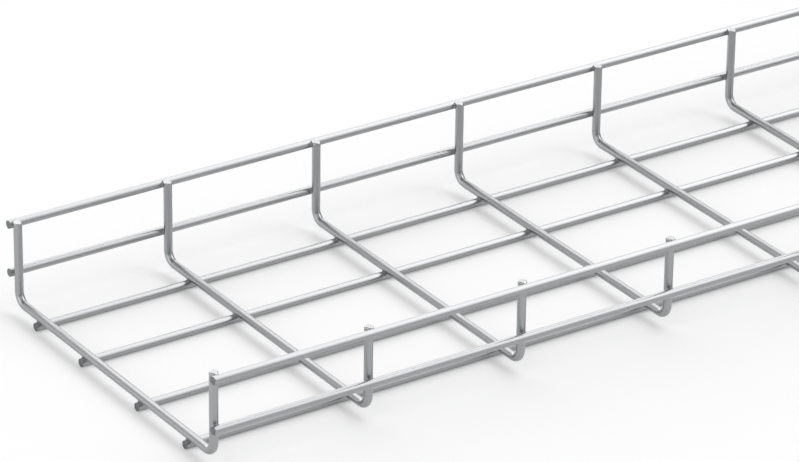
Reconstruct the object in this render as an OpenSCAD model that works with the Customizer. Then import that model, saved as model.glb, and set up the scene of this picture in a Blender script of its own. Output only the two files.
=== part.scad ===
// Wire mesh cable basket: a straight tray of welded round wire.
// Straight line wires run the whole length, four under the floor and two outside each side.
// U-bent cross wires lie on top of the floor wires and stand inside the side wires.
// Each crossing is a resistance weld: the line wire is pressed a little into the cross wire, and
// melted metal fills the corner between the two.
// Origin: the middle of the tray's outline, on the plane that the floor wires rest on.
// +X runs along the tray, +Y across it and +Z up.

/* [Tray] */
// Clear width between the two legs of a cross wire
inside_width = 203; // [120:1:560]
// Clear depth from the top of the cross wires up to the leg tops
inside_depth = 47; // [40:1:120]
// Number of full bays between the two short end bays
full_bays = 28; // [2:1:40]
// Spacing of the cross wires along the tray
cross_pitch = 100; // [50:1:150]
// Spacing of the outermost two cross wires at each end
end_bay = 97.4; // [40:0.1:150]
// Reach of the line wires past the middle of the end cross wire
end_reach = 3.6; // [3:0.1:20]

/* [Wire] */
// Diameter of the straight line wires
line_wire_d = 5; // [3:0.1:7]
// Diameter of the bent cross wires
cross_wire_d = 5; // [3:0.1:7]
// Radius of each bend, at the middle of the cross wire
bend_r = 7; // [6:0.1:15]
// Depth that a welded crossing sinks together
weld_sink = 0.25; // [0.05:0.01:0.5]
// Distance that the metal of a weld stays inside the edges of the thinner wire
weld_inset = 0.6; // [0.4:0.05:1]
// Bevel on the sheared end of a wire
end_bevel = 0.3; // [0.1:0.05:0.8]

/* [Line wire places] */
// Middle to middle of the two inner floor wires
floor_middle_gap = 60; // [30:1:80]
// Middle to middle of an inner and an outer floor wire
floor_outer_gap = 50; // [15:1:60]
// Middle to middle of the lower and the top side wire
side_wire_gap = 30; // [12:1:34]

/* [Hidden] */
$fn = 48;
line_r = line_wire_d / 2;
cross_r = cross_wire_d / 2;
// Middle of a line wire to the middle of the cross wire it is welded to
weld_distance = line_r + cross_r - weld_sink;
weld_width = min(line_wire_d, cross_wire_d) - 2 * weld_inset;

// Heights of wire middles above the plane the tray rests on
floor_wire_z = line_r;
cross_floor_z = floor_wire_z + weld_distance;
leg_top_z = cross_floor_z + cross_r + inside_depth;
top_side_wire_z = leg_top_z - line_r;
low_side_wire_z = top_side_wire_z - side_wire_gap;

// Half spreads of wire middles about the tray's middle
leg_y = inside_width / 2 + cross_r;
side_wire_y = leg_y + weld_distance;
inner_floor_y = floor_middle_gap / 2;
outer_floor_y = inner_floor_y + floor_outer_gap;

// Places along the tray
regular_span = full_bays * cross_pitch;
first_cross_x = -regular_span / 2 - end_bay;
cross_count = full_bays + 3;
tray_length = regular_span + 2 * (end_bay + end_reach);
function cross_x(i) =
    i == 0 ? first_cross_x
    : i == cross_count - 1 ? -first_cross_x
    : -regular_span / 2 + (i - 1) * cross_pitch;

// Names, with the y and z of each line wire's middle
LINE_WIRES = [
    ["floor_wire_1", -outer_floor_y, floor_wire_z],
    ["floor_wire_2", -inner_floor_y, floor_wire_z],
    ["floor_wire_3", inner_floor_y, floor_wire_z],
    ["floor_wire_4", outer_floor_y, floor_wire_z],
    ["right_side_wire_low", -side_wire_y, low_side_wire_z],
    ["right_side_wire_top", -side_wire_y, top_side_wire_z],
    ["left_side_wire_low", side_wire_y, low_side_wire_z],
    ["left_side_wire_top", side_wire_y, top_side_wire_z]
];
function cross_name(i) = str("cross_wire_", i < 9 ? "0" : "", i + 1);

// A round bar that stands on z = 0, with a sheared end's bevel where asked
module bar(d, length, bevel_bottom = false, bevel_top = false) {
    bottom = bevel_bottom ? end_bevel : 0;
    top = bevel_top ? end_bevel : 0;
    translate([0, 0, bottom])
        cylinder(d = d, h = length - bottom - top);
    if (bevel_bottom)
        cylinder(d1 = d - 2 * end_bevel, d2 = d, h = end_bevel);
    if (bevel_top)
        translate([0, 0, length - end_bevel])
            cylinder(d1 = d, d2 = d - 2 * end_bevel, h = end_bevel);
}

// One straight wire along the whole tray
module line_wire(y, z) {
    color("gainsboro")
        translate([-tray_length / 2, y, z])
            rotate([0, 90, 0])
                bar(line_wire_d, tray_length, true, true);
}

// The quarter bend that joins the floor run to the leg on the +Y side
module corner_bend() {
    translate([0, leg_y - bend_r, cross_floor_z + bend_r])
        rotate([0, 90, 0])
            rotate_extrude(angle = 90)
                translate([bend_r, 0])
                    circle(d = cross_wire_d);
}

// The upright stretch of a cross wire on the +Y side, up to its cut top
module leg() {
    translate([0, leg_y, cross_floor_z + bend_r])
        bar(cross_wire_d, leg_top_z - cross_floor_z - bend_r, false, true);
}

// A whole cross wire at x = 0 as it is bent, before welding
module bent_wire() {
    floor_run = 2 * (leg_y - bend_r);
    translate([0, -floor_run / 2, cross_floor_z])
        rotate([-90, 0, 0])
            bar(cross_wire_d, floor_run);
    for (side = [0, 1])
        mirror([0, side, 0]) {
            corner_bend();
            leg();
        }
}

// Points +Z from the middle of a line wire to the middle of the cross wire at x = 0
module at_weld(wire) {
    on_floor = wire[2] == floor_wire_z;
    translate([0, wire[1], wire[2]])
        rotate([on_floor ? 0 : sign(wire[1]) * 90, 0, 0])
            children();
}

// Melted metal squeezed out square between the two wires of a weld
module weld_metal() {
    translate([-weld_width / 2, -weld_width / 2, 0])
        cube([weld_width, weld_width, weld_distance]);
}

// The groove that a line wire presses into the cross wire and its melted metal
module pressed_seat() {
    translate([-cross_wire_d, 0, 0])
        rotate([0, 90, 0])
            cylinder(d = line_wire_d, h = 2 * cross_wire_d);
}

// One U-bent cross wire at a place along the tray, with a weld seat for each line wire
module cross_wire(x) {
    color("silver")
        translate([x, 0, 0])
            difference() {
                union() {
                    bent_wire();
                    for (wire = LINE_WIRES) at_weld(wire) weld_metal();
                }
                for (wire = LINE_WIRES) at_weld(wire) pressed_seat();
            }
}

for (wire = LINE_WIRES)
    line_wire(wire[1], wire[2]);
for (i = [0:cross_count - 1])
    cross_wire(cross_x(i));
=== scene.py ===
"""Looks of the wire mesh cable basket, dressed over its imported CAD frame.

Each of the 39 wires becomes one closed tube mesh.  Where two wires are welded, both tubes flare
into one smooth joint, and each dives a little way under the other's skin, so no seam shows.
Lengths are in metres unless a name says mm.
"""

import math
from typing import NamedTuple

import bpy
import numpy as np
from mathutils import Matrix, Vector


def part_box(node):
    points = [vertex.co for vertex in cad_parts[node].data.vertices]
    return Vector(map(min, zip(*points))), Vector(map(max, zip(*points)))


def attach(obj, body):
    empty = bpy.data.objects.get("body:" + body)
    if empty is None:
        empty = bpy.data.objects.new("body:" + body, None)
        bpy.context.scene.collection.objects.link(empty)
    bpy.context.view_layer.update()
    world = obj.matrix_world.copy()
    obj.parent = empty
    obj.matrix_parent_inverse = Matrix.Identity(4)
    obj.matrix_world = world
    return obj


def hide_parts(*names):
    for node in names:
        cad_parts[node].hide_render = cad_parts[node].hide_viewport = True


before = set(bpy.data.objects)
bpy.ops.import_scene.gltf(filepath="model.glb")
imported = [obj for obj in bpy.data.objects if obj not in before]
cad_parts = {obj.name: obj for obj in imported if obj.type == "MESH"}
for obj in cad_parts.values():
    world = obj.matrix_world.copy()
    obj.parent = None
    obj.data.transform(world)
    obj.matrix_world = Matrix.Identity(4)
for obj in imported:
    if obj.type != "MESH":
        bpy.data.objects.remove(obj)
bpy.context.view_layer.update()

MM = 0.001
RANDOM = np.random.default_rng(31)
SEED_LIMIT = 1 << 30
X, Y, Z = np.eye(3)

# ---------------------------------------------------------------- camera

CAMERA_AT = (-2.6700, -2.0216, 1.2563)
CAMERA_TURN_DEG = (63.578, -0.745, -33.536)
CAMERA_LENS_MM = 218.58
SENSOR_WIDTH_MM = 36.0


def add_camera():
    """The camera stands beyond the near end, to the right of the tray, and looks down along it."""
    data = bpy.data.cameras.new("view")
    data.sensor_width = SENSOR_WIDTH_MM
    data.lens = CAMERA_LENS_MM
    camera = bpy.data.objects.new("view", data)
    camera.location = CAMERA_AT
    camera.rotation_euler = [math.radians(turn) for turn in CAMERA_TURN_DEG]
    bpy.context.scene.collection.objects.link(camera)
    bpy.context.scene.camera = camera


# ---------------------------------------------------------------- sizes

FLOOR_NODES = [f"floor_wire_{number}" for number in (1, 2, 3, 4)]
SIDE_NODES = [f"{side}_side_wire_{level}" for side in ("right", "left") for level in ("low", "top")]
LINE_NODES = FLOOR_NODES + SIDE_NODES
CROSS_NODES = sorted(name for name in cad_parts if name.startswith("cross_wire_"))

# The two sizes that the boxes of the frame's nodes don't give
WELD_SINK = 0.25 * MM
BEND_RADIUS = 7.0 * MM


def box(name):
    """Lowest and highest corner of a CAD node as arrays."""
    low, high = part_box(name)
    return np.array(low), np.array(high)


def middle(name):
    """The middle of a CAD node's box."""
    return sum(box(name)) / 2


def size(name):
    """The sides of a CAD node's box."""
    low, high = box(name)
    return high - low


LINE_RADIUS = size(FLOOR_NODES[0])[2] / 2
LINE_HALF = size(FLOOR_NODES[0])[0] / 2
CROSS_RADIUS = size(CROSS_NODES[0])[0] / 2
# Middle of a line wire to the middle of the cross wire it is welded to
AXIS_GAP = LINE_RADIUS + CROSS_RADIUS - WELD_SINK
FLOOR_RUN_Z = LINE_RADIUS + AXIS_GAP
LEG_TOP_Z = box(CROSS_NODES[0])[1][2]
LEG_Y = middle("left_side_wire_top")[1] - AXIS_GAP
BEND_TOP_Z = FLOOR_RUN_Z + BEND_RADIUS
FLOOR_RUN_HALF = LEG_Y - BEND_RADIUS
BEND_LENGTH = BEND_RADIUS * math.pi / 2
CROSS_HALF = FLOOR_RUN_HALF + BEND_LENGTH + LEG_TOP_Z - BEND_TOP_Z

# ---------------------------------------------------------------- middle lines and welds


class Bar(NamedTuple):
    """A straight round bar with flat ends."""

    middle: np.ndarray
    axis: np.ndarray
    half_length: float
    radius: float


class Weld(NamedTuple):
    """A weld on a wire: where it is along the wire, the bar it joins, and the reach of its hollow."""

    distance: float
    bar: Bar
    blend: float


def line_place(line):
    """Middle points of a line wire, and the way from them to its welds, by distance along it."""
    _, y, z = middle(line)
    to_welds = Z if line in FLOOR_NODES else -math.copysign(1, y) * Y

    def place(distance):
        points = np.zeros((len(distance), 3)) + [0, y, z]
        points[:, 0] = distance
        return points, np.tile(to_welds, (len(distance), 1))

    return place


def cross_place(cross):
    """The same for a U-bent cross wire, by distance from the middle of its floor run."""
    x = middle(cross)[0]

    def place(distance):
        side = np.where(distance < 0, -1.0, 1.0)
        far = np.abs(distance)
        turn = np.clip((far - FLOOR_RUN_HALF) / BEND_RADIUS, 0, math.pi / 2)
        rise = np.maximum(far - FLOOR_RUN_HALF - BEND_LENGTH, 0)
        y = np.minimum(far, FLOOR_RUN_HALF) + BEND_RADIUS * np.sin(turn)
        z = FLOOR_RUN_Z + BEND_RADIUS * (1 - np.cos(turn)) + rise
        points = np.stack([np.full_like(far, x), side * y, z], 1)
        to_welds = np.stack([np.zeros_like(far), side * np.sin(turn), -np.cos(turn)], 1)
        return points, to_welds

    return place


def weld_distance_on_cross(line):
    """Where a line wire is welded, as a distance along a cross wire."""
    _, y, z = middle(line)
    if line in FLOOR_NODES:
        return y
    return math.copysign(FLOOR_RUN_HALF + BEND_LENGTH + z - BEND_TOP_Z, y)


def line_bar(line):
    """A whole line wire."""
    return Bar(middle(line), X, LINE_HALF, LINE_RADIUS)


def cross_bar(cross, line):
    """The straight stretch of a cross wire that a line wire is welded to."""
    x = middle(cross)[0]
    if line in FLOOR_NODES:
        return Bar(np.array([x, 0, FLOOR_RUN_Z]), Y, FLOOR_RUN_HALF, CROSS_RADIUS)
    leg_half = (LEG_TOP_Z - BEND_TOP_Z) / 2
    y = math.copysign(LEG_Y, middle(line)[1])
    return Bar(np.array([x, y, BEND_TOP_Z + leg_half]), Z, leg_half, CROSS_RADIUS)


# ---------------------------------------------------------------- flared skins

# How far a joint's hollow reaches over both skins, drawn for each weld between these
BLEND_LEAST = 1.1 * MM
BLEND_MOST = 1.6 * MM
# Past the middle of a joint a tube sinks under the other's skin at this slope, and ends this deep
DIVE_SLOPE = 0.35
DIVE_DEPTH = 0.9 * MM
# Small unevenness of the melted metal
LUMP_HEIGHT = 0.04 * MM
LUMP_LENGTH = 2.2 * MM
LUMP_WAVES = RANDOM.normal(size=(5, 3))
LUMP_PHASES = RANDOM.uniform(0, 2 * math.pi, 5)

# A flare's height is sought out to this reach in even steps, and then by halving the last step
SEARCH_REACH = 4.0 * MM
SEARCH_STEPS = 30
HALVINGS = 14

weld_blend = {
    (line, cross): RANDOM.uniform(BLEND_LEAST, BLEND_MOST)
    for line in LINE_NODES
    for cross in CROSS_NODES
}


def bar_distance(points, bar):
    """Distance of points from a bar's skin, negative inside."""
    away = points - bar.middle
    along = (away * bar.axis).sum(-1)
    across = np.linalg.norm(away - along[..., None] * bar.axis, axis=-1) - bar.radius
    beyond = np.abs(along) - bar.half_length
    outside = np.hypot(np.maximum(across, 0), np.maximum(beyond, 0))
    return outside + np.minimum(np.maximum(across, beyond), 0)


def lumps(points):
    """A slow wave through space, from -1 to 1."""
    return np.sin(points @ (LUMP_WAVES.T / LUMP_LENGTH) + LUMP_PHASES).mean(-1)


def joint_skin(own, points, bar, blend):
    """Height over the flared skin, and how near the weld is, for points at a height over the plain one.

    The two skins are joined by a smooth minimum, which digs its hollow where both are equally near.
    """
    other = bar_distance(points, bar)
    dived = other + DIVE_SLOPE * np.maximum(own - other, 0)
    closeness = np.maximum(blend - np.abs(own - dived), 0) / blend
    hollow = closeness**2 * blend / 4
    skin = np.minimum(own, dived) - hollow + LUMP_HEIGHT * closeness * lumps(points)
    return np.maximum(skin, own - other - DIVE_DEPTH), closeness


def flare(plain, outward, bar, blend):
    """How far the flared skin stands over points of the plain one, and how near the weld is."""
    def skin_at(height):
        return joint_skin(height, plain + height[..., None] * outward, bar, blend)

    shape = outward.shape[:-1]
    inner = np.full(shape, -LUMP_HEIGHT)
    outer = np.full(shape, SEARCH_REACH)
    searching = np.ones(shape, bool)
    for height in np.linspace(0, SEARCH_REACH, SEARCH_STEPS + 1)[1:]:
        outside = searching & (skin_at(np.full(shape, height))[0] > 0)
        outer[outside] = height
        searching &= ~outside
        inner[searching] = height
    for _ in range(HALVINGS):
        halfway = (inner + outer) / 2
        outside = skin_at(halfway)[0] > 0
        outer = np.where(outside, halfway, outer)
        inner = np.where(outside, inner, halfway)
    return outer, skin_at(outer)[1]


# ---------------------------------------------------------------- rings along a wire

# Angles round a wire from the side of its welds, closer together where the joints flare
HALF_TURN_DEG = [0, 10, 20, 30, 40, 50, 60, 70, 80, 92, 106, 122, 140, 160, 180]
AROUND = np.radians(HALF_TURN_DEG + [-angle for angle in HALF_TURN_DEG[-2:0:-1]])

# Ring places beside the middle of a weld, and the longest step of the plain wire between
WELD_RINGS = np.array([0.0, 0.45, 0.9, 1.3, 1.7, 2.1, 2.5, 2.9, 3.4, 4.2, 6.0]) * MM
PLAIN_STEP = 34 * MM
BEND_STEPS = 13
# Half the stretch of middle line that shows which way the wire runs at a ring
PROBE = 0.01 * MM

# The stretch of wire that a sheared end takes up
END_STRETCH = 1.1 * MM
# Its bevel on the sharper side and on the side that the shear rolled over
LINE_BEVELS = (0.10 * MM, 0.42 * MM)
CROSS_BEVELS = (0.35 * MM, 0.95 * MM)
BEVEL_TURNS = np.radians([0, 30, 60, 90])
# The bevel's steps next to the face, which show cut metal as it does
CUT_BEVEL_STEPS = 2
# The face, a little out of square and uneven, with its rings as shares of its radius
OUT_OF_SQUARE = 0.03
FACE_RINGS = [0.8, 0.55, 0.28]
FACE_RELIEF = 0.03 * MM


class WireKind(NamedTuple):
    """What the wires of one kind share."""

    slot: str
    radius: float
    half_length: float
    bend_rings: list
    bevels: tuple
    cut_face: bpy.types.Material


class Ring(NamedTuple):
    """Points round a wire, the same in the wire's own coordinates, and how near the weld each is."""

    points: np.ndarray
    coords: np.ndarray
    closeness: np.ndarray


def ring_distances(half_length, weld_distances, bend_rings):
    """Places of the rings from the middle of a wire."""
    offsets = np.concatenate([-WELD_RINGS[:0:-1], WELD_RINGS])
    wanted = np.concatenate([at + offsets for at in weld_distances] + [bend_rings])
    last = half_length - END_STRETCH
    inside = np.sort(wanted[np.abs(wanted) < last - END_STRETCH / 2])
    places = [-last]
    for place in [*inside, last]:
        gap = place - places[-1]
        parts = math.ceil(gap / PLAIN_STEP)
        places += [places[-1] + gap * part / parts for part in range(1, parts)]
        places.append(place)
    return np.array(places)


def ring_directions(place, distances):
    """Middles of the rings, the way ahead along the wire, and the ways outward all round it."""
    middles, to_welds = place(distances)
    ahead = place(distances + PROBE)[0] - place(distances - PROBE)[0]
    ahead /= np.linalg.norm(ahead, axis=1)[:, None]
    aside = np.cross(ahead, to_welds)
    outward = np.cos(AROUND)[:, None] * to_welds[:, None] + np.sin(AROUND)[:, None] * aside[:, None]
    return middles, ahead, outward


def wire_coords(reach, distance):
    """A wire's own coordinates: two across it from its middle, and the distance along it."""
    return np.stack(
        [reach * np.cos(AROUND), reach * np.sin(AROUND), np.broadcast_to(distance, reach.shape)], -1
    )


def end_rings(reach, bevels, draw):
    """A sheared end's rings, from the bevel in over the face: (reach, distance short of the end)."""
    to_rolled_side = (1 + np.cos(AROUND - draw.uniform(0, 2 * math.pi))) / 2
    sharp, rolled = bevels
    bevel = sharp + (rolled - sharp) * to_rolled_side
    slope = draw.uniform(-OUT_OF_SQUARE, OUT_OF_SQUARE)
    rings = [
        (reach - bevel * (1 - math.cos(turn)), bevel * (1 - math.sin(turn))) for turn in BEVEL_TURNS
    ]
    face_reach, _ = rings[-1]
    for share in FACE_RINGS:
        rings.append((face_reach * share, FACE_RELIEF * draw.uniform(0, 1, len(AROUND))))
    return [(ring_reach, short + slope * ring_reach * to_rolled_side) for ring_reach, short in rings]


def wire_rings(kind, place, welds, draw):
    """All rings of a wire, from the middle of one cut face to the middle of the other."""
    weld_distances = np.array([weld.distance for weld in welds])
    distances = ring_distances(kind.half_length, weld_distances, kind.bend_rings)
    middles, ahead, outward = ring_directions(place, distances)
    nearest = [welds[index] for index in np.abs(distances[:, None] - weld_distances).argmin(1)]
    bar = Bar(*[np.array(values)[:, None] for values in zip(*[weld.bar for weld in nearest])])
    blend = np.array([weld.blend for weld in nearest])[:, None]
    height, closeness = flare(middles[:, None] + kind.radius * outward, outward, bar, blend)
    reach = kind.radius + height
    points = middles[:, None] + reach[..., None] * outward
    coords = wire_coords(reach, distances[:, None])
    rings = [Ring(*values) for values in zip(points, coords, closeness)]

    for end in (-1, 1):
        row = 0 if end < 0 else -1
        tip, _ = place(np.array([end * kind.half_length]))
        for ring_reach, short in end_rings(reach[row], kind.bevels, draw):
            ring_points = tip + ring_reach[:, None] * outward[row] - end * short[:, None] * ahead[row]
            ring_coords = wire_coords(ring_reach, end * (kind.half_length - short))
            ring = Ring(ring_points, ring_coords, closeness[row])
            rings.insert(0 if end < 0 else len(rings), ring)
    return rings


# ---------------------------------------------------------------- tube meshes


def tube_faces(ring_count):
    """Quads from ring to ring, and then a fan round the middle of each cut face."""
    around = len(AROUND)
    column = np.arange(around)
    following = (column + 1) % around
    start = around * np.arange(ring_count - 1)[:, None]
    quads = np.stack(
        [start + column, start + following, start + around + following, start + around + column], -1
    )
    last_start = around * (ring_count - 1)
    first_middle = around * ring_count
    first_fan = np.stack([np.full(around, first_middle), following, column], 1)
    last_fan = np.stack(
        [np.full(around, first_middle + 1), last_start + column, last_start + following], 1
    )
    return quads.reshape(-1, 4).tolist() + first_fan.tolist() + last_fan.tolist()


def face_materials(ring_count):
    """The material slot of each of those faces: 0 for zinc and 1 for cut metal."""
    around = len(AROUND)
    cut_rows = len(FACE_RINGS) + CUT_BEVEL_STEPS
    row = np.arange(ring_count - 1)
    is_cut = (row < cut_rows) | (row >= ring_count - 1 - cut_rows)
    return np.concatenate([np.repeat(is_cut, around), np.ones(2 * around, bool)]).astype(np.int32)


def with_face_middles(ring_values):
    """The values of all rings in one array, and then their means on the two cut faces."""
    return np.concatenate([*ring_values, [ring_values[0].mean(0), ring_values[-1].mean(0)]])


def tube_object(name, rings):
    """The rings joined into one closed mesh, with the wire's coordinates and welds as attributes."""
    points, coords, closeness = [with_face_middles(values) for values in zip(*rings)]
    faces = tube_faces(len(rings))
    mesh = bpy.data.meshes.new(name)
    mesh.from_pydata(points.tolist(), [], faces)
    mesh.polygons.foreach_set("material_index", face_materials(len(rings)))
    mesh.polygons.foreach_set("use_smooth", np.ones(len(faces), bool))
    stored = mesh.attributes.new("wire_mm", "FLOAT_VECTOR", "POINT")
    stored.data.foreach_set("vector", (coords / MM).astype(np.float32).ravel())
    stored = mesh.attributes.new("weld", "FLOAT", "POINT")
    stored.data.foreach_set("value", closeness.astype(np.float32))
    mesh.update()
    piece = bpy.data.objects.new(name, mesh)
    bpy.context.scene.collection.objects.link(piece)
    return piece


# ---------------------------------------------------------------- shader nodes


def shader_node(tree, kind, inputs, **settings):
    """A new shader node with its settings and inputs: a value is set, an output socket is linked."""
    made = tree.nodes.new("ShaderNode" + kind)
    for name, value in settings.items():
        setattr(made, name, value)
    for name, value in inputs.items():
        if isinstance(value, bpy.types.NodeSocket):
            tree.links.new(value, made.inputs[name])
        else:
            made.inputs[name].default_value = value
    return made


def math_node(tree, operation, first, second):
    """The result of a Math node on two values."""
    return shader_node(tree, "Math", {0: first, 1: second}, operation=operation).outputs[0]


def total(tree, values):
    """The values added up."""
    result = values[0]
    for value in values[1:]:
        result = math_node(tree, "ADD", result, value)
    return result


def swing(tree, value, amount):
    """A 0 to 1 value turned into one that swings by the amount about 0."""
    return math_node(tree, "MULTIPLY", math_node(tree, "SUBTRACT", value, 0.5), 2 * amount)


def empty_tree(owner):
    """The cleared node tree of a material or world."""
    owner.use_nodes = True
    owner.node_tree.nodes.clear()
    return owner.node_tree


# ---------------------------------------------------------------- metals


class Pattern(NamedTuple):
    """Noise laid along a wire, and what it does to the metal.

    per_mm is how many features a millimetre across the wire has, and stretch how much longer
    they are along it.
    """

    per_mm: float
    stretch: float
    detail: float
    tone_swing: float = 0.0
    roughness_swing: float = 0.0
    depth: float = 0.0


DRAWN_LINES = Pattern(2.4, 30, 3, tone_swing=0.03, roughness_swing=0.03, depth=0.02 * MM)
CLOUDS = Pattern(0.33, 2.5, 3, tone_swing=0.04, roughness_swing=0.03)
BROAD_STAINS = Pattern(0.03, 1.5, 2, tone_swing=0.03)
GRAIN = Pattern(7.0, 1.6, 2, depth=0.01 * MM)
TORN_METAL = Pattern(1.6, 1, 4, tone_swing=0.15, roughness_swing=0.08, depth=0.05 * MM)

# Zinc plate, and what is added to its tone and roughness at a weld; the darker tone is heat tint and
# painted shade
ZINC_COLOUR = (0.370, 0.380, 0.386)
ZINC_ROUGHNESS = 0.31
ZINC_BUMP = 0.05
WELD_TINT_AND_SHADE = -0.06
WELD_ROUGHNESS = 0.04

# Sheared faces: those on top of the upright cross wires keep a light tone, and the line wires' sideways
# faces get a painted shade
CROSS_CUT_COLOUR = (0.40, 0.409, 0.414)
LINE_CUT_PAINTED_SHADE = (0.17, 0.175, 0.18)
CUT_ROUGHNESS = 0.30
CUT_BUMP = 0.25


def wire_noise(tree, pattern):
    """A pattern's noise, from 0 to 1, with features stretched lengthwise."""
    coords = shader_node(tree, "Attribute", {}, attribute_name="wire_mm").outputs["Vector"]
    scale = (1, 1, 1 / pattern.stretch)
    scaled = shader_node(tree, "Mapping", {"Vector": coords, "Scale": scale}).outputs[0]
    inputs = {"Vector": scaled, "Scale": pattern.per_mm, "Detail": pattern.detail}
    return shader_node(tree, "TexNoise", inputs).outputs["Fac"]


def metal(name, colour, roughness, bump, patterns, weld_tint_and_shade=0.0, weld_roughness=0.0):
    """A metal whose tone, roughness and relief follow its patterns, and change at the welds."""
    material = bpy.data.materials.new(name)
    tree = empty_tree(material)
    tones = [1.0]
    roughnesses = [roughness]
    relief = {}
    for pattern in patterns:
        noise = wire_noise(tree, pattern)
        if pattern.tone_swing:
            tones.append(swing(tree, noise, pattern.tone_swing))
        if pattern.roughness_swing:
            roughnesses.append(swing(tree, noise, pattern.roughness_swing))
        if pattern.depth:
            inputs = {"Height": noise, "Strength": bump, "Distance": pattern.depth, **relief}
            relief = {"Normal": shader_node(tree, "Bump", inputs).outputs[0]}
    # Darker at the welds: partly heat tint, partly painted shade in the hollow between the welded wires
    if weld_tint_and_shade or weld_roughness:
        weld = shader_node(tree, "Attribute", {}, attribute_name="weld").outputs["Fac"]
        tones.append(math_node(tree, "MULTIPLY", weld, weld_tint_and_shade))
        roughnesses.append(math_node(tree, "MULTIPLY", weld, weld_roughness))
    toned = {0: colour, "Scale": total(tree, tones)}
    inputs = {
        "Base Color": shader_node(tree, "VectorMath", toned, operation="SCALE").outputs[0],
        "Metallic": 1.0,
        "Roughness": total(tree, roughnesses),
        **relief,
    }
    shader = shader_node(tree, "BsdfPrincipled", inputs)
    shader_node(tree, "OutputMaterial", {"Surface": shader.outputs[0]})
    return material


def zinc_plate():
    """Bright zinc plate over drawn wire: fine lines, soft clouds, duller at the welds and darker there
    with heat tint and painted shade.
    """
    patterns = [DRAWN_LINES, CLOUDS, BROAD_STAINS, GRAIN]
    return metal(
        "bright_zinc", ZINC_COLOUR, ZINC_ROUGHNESS, ZINC_BUMP, patterns, WELD_TINT_AND_SHADE, WELD_ROUGHNESS
    )


def cut_metal(name, colour):
    """A sheared face, a little torn."""
    return metal(name, colour, CUT_ROUGHNESS, CUT_BUMP, [TORN_METAL])


# ---------------------------------------------------------------- floor and light

FLOOR_HALF = 300.0
FLOOR_COLOUR = (0.85, 0.85, 0.85, 1.0)
FLOOR_DROP = 0.02 * MM
# Share of plain white that the camera and the metal see in it, over the lit floor with its shadows
FLOOR_WHITE_SHARE = 0.25


def floor_material():
    """Pale and dull with its shadows, and partly plain white to the camera and the metal."""
    material = bpy.data.materials.new("pale_floor")
    tree = empty_tree(material)
    lit = shader_node(tree, "BsdfDiffuse", {"Color": FLOOR_COLOUR}).outputs[0]
    white = shader_node(tree, "Emission", {"Strength": 1.0}).outputs[0]
    rays = shader_node(tree, "LightPath", {}).outputs
    seen = total(tree, [rays[f"Is {kind} Ray"] for kind in ("Camera", "Glossy", "Transmission")])
    share = shader_node(
        tree, "Math", {0: seen, 1: FLOOR_WHITE_SHARE}, operation="MULTIPLY", use_clamp=True
    ).outputs[0]
    shader = shader_node(tree, "MixShader", {0: share, 1: lit, 2: white})
    shader_node(tree, "OutputMaterial", {"Surface": shader.outputs[0]})
    return material


def add_floor():
    """A plain floor that runs to the horizon, a hair below the wires."""
    corners = [
        (FLOOR_HALF * x, FLOOR_HALF * y, -FLOOR_DROP) for x, y in [(-1, -1), (1, -1), (1, 1), (-1, 1)]
    ]
    mesh = bpy.data.meshes.new("floor")
    mesh.from_pydata(corners, [], [(0, 1, 2, 3)])
    mesh.materials.append(floor_material())
    floor = bpy.data.objects.new("floor", mesh)
    bpy.context.scene.collection.objects.link(floor)


# The light tent's own strength, and its soft patches: direction, edge angles in degrees, strength
TENT = 0.22
PATCHES = [
    ((0.55, -0.72, 0.42), (3, 26), 1.45),
    ((0.61, -0.36, 0.70), (3, 26), 1.40),
    ((0.60, -0.13, 0.79), (4, 31), 1.66),
    ((0.55, 0.30, 0.78), (3, 28), 1.70),
    ((0.41, 0.83, 0.38), (5, 44), 1.54),
    ((0.00, 0.93, 0.38), (4, 34), 1.25),
    ((-0.96, 0.26, 0.09), (6, 51), 1.70),
    ((-0.50, -0.50, 0.71), (5, 40), 0.75),
]


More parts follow.
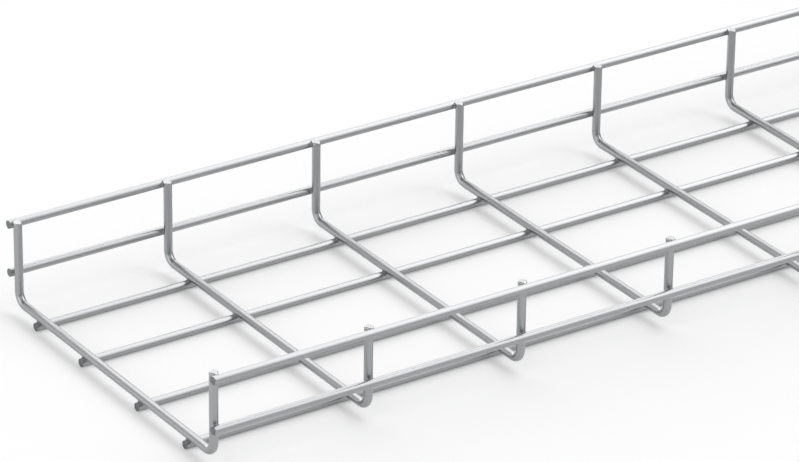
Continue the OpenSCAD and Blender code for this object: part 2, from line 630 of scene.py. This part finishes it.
def light_patch(tree, direction, towards, edges_deg, strength):
    """Light of a strength towards a direction, fading out between two angles from it."""
    inner, outer = [math.cos(math.radians(angle)) for angle in edges_deg]
    unit = tuple(np.array(towards) / np.linalg.norm(towards))
    facing = shader_node(
        tree, "VectorMath", {0: direction, 1: unit}, operation="DOT_PRODUCT"
    ).outputs["Value"]
    inputs = {
        "Value": facing, "From Min": outer, "From Max": inner, "To Min": 0.0, "To Max": strength
    }
    return shader_node(tree, "MapRange", inputs, interpolation_type="SMOOTHSTEP").outputs[0]


def add_world():
    """A dim tent with soft bright patches, at the level where a colour renders as it is written."""
    world = bpy.data.worlds.new("light_tent")
    tree = empty_tree(world)
    direction = shader_node(tree, "TexCoord", {}).outputs["Generated"]
    level = total(tree, [TENT] + [light_patch(tree, direction, *patch) for patch in PATCHES])
    background = shader_node(tree, "Background", {"Color": (1, 1, 1, 1), "Strength": level})
    shader_node(tree, "OutputWorld", {"Surface": background.outputs[0]})
    bpy.context.scene.world = world


# ---------------------------------------------------------------- the scene

bpy.context.scene.view_settings.view_transform = "Standard"
add_camera()
add_floor()
add_world()

zinc = zinc_plate()
line_kind = WireKind(
    "line_wire", LINE_RADIUS, LINE_HALF, [], LINE_BEVELS,
    # The line wires' cut faces are coloured much darker: a painted shade on the same cut metal
    cut_metal("painted_shade_sheared_end", LINE_CUT_PAINTED_SHADE),
)
bend_distances = FLOOR_RUN_HALF + np.linspace(0, BEND_LENGTH, BEND_STEPS + 1)
cross_kind = WireKind(
    "cross_wire", CROSS_RADIUS, CROSS_HALF, [*-bend_distances, *bend_distances], CROSS_BEVELS,
    cut_metal("bright_sheared_end", CROSS_CUT_COLOUR),
)


def add_wire(name, kind, place, welds):
    """Adds a wire's dressed piece, which stands for its CAD node."""
    draw = np.random.default_rng(RANDOM.integers(SEED_LIMIT))
    piece = tube_object(name + "_skin", wire_rings(kind, place, welds, draw))
    piece.data.materials.append(zinc)
    piece.data.materials.append(kind.cut_face)
    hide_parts(name)
    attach(piece, "root")


for line in LINE_NODES:
    line_welds = [
        Weld(middle(cross)[0], cross_bar(cross, line), weld_blend[line, cross])
        for cross in CROSS_NODES
    ]
    add_wire(line, line_kind, line_place(line), line_welds)

for cross in CROSS_NODES:
    cross_welds = [
        Weld(weld_distance_on_cross(line), line_bar(line), weld_blend[line, cross])
        for line in LINE_NODES
    ]
    add_wire(cross, cross_kind, cross_place(cross), cross_welds)
